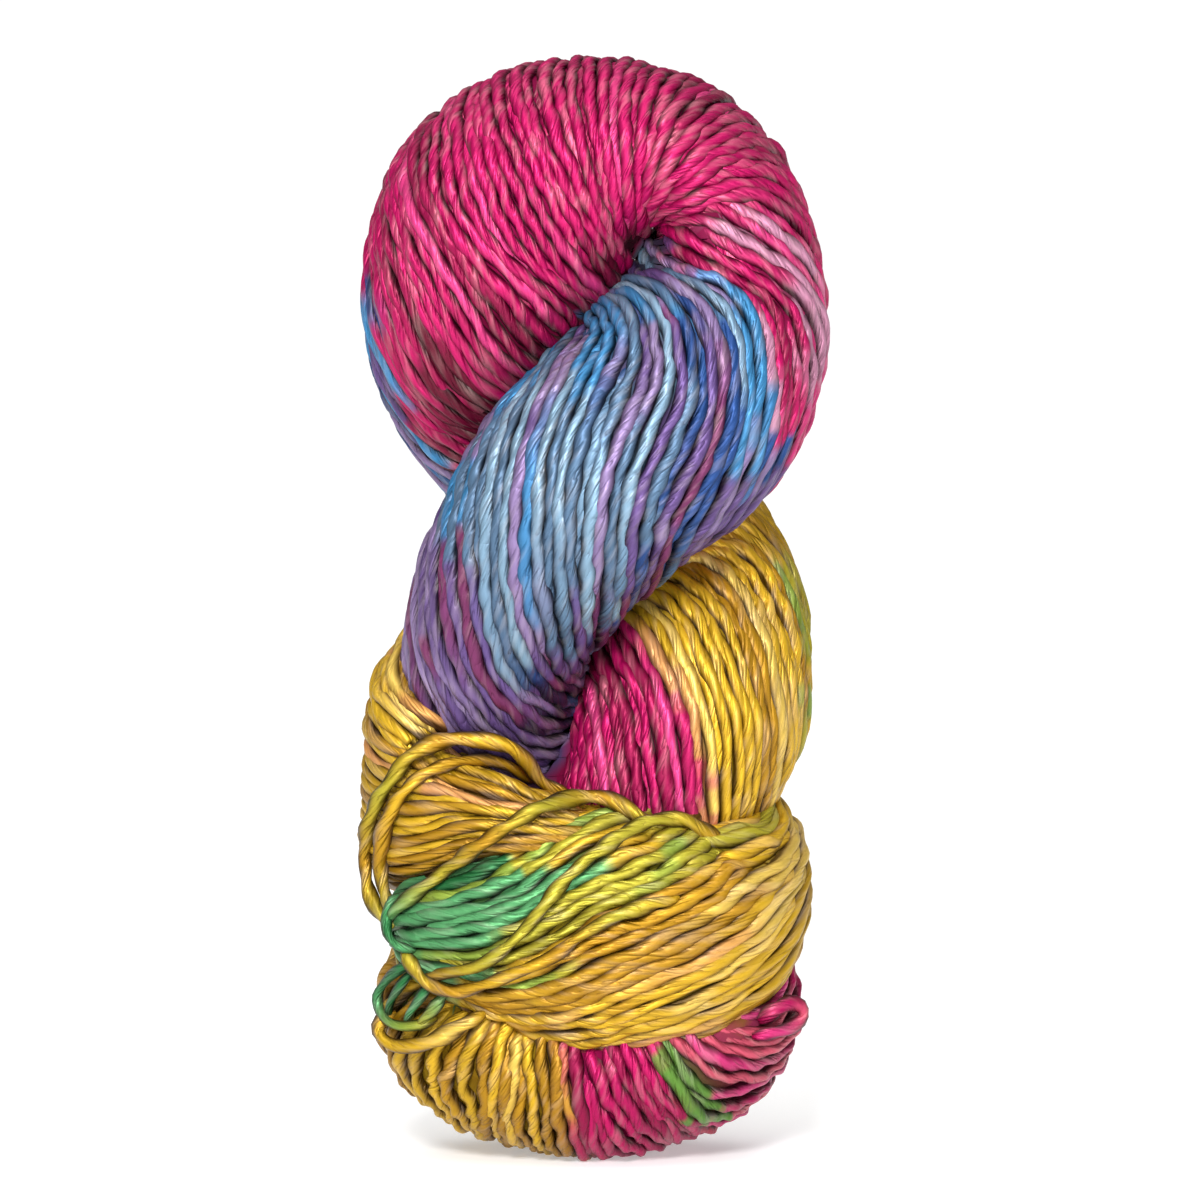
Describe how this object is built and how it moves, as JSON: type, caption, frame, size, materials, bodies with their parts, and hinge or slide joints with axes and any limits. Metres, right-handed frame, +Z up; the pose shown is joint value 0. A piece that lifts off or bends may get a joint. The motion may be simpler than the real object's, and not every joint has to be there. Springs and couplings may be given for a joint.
{
  "type": "twisted skein of silk yarn",
  "caption": "Thick hand-dyed silk yarn in a twisted hank that folds over at the top, wraps itself low down and stands on its folded end.",
  "frame": {"origin": "middle of the footprint, on the surface that the skein stands on", "axes": "+Z up along the twist to the rounded top, -Y towards the face with the end loop's wide wrap, +X to the right of that face"},
  "size_m": [0.1019, 0.094, 0.241],
  "materials": {
    "silk_yarn": "Loosely plied silk, lustrous, dyed in long runs of magenta, blue, lilac, yellow and green."
  },
  "bodies": {
    "root": {"skein": "silk_yarn"}
  },
  "joints": []
}
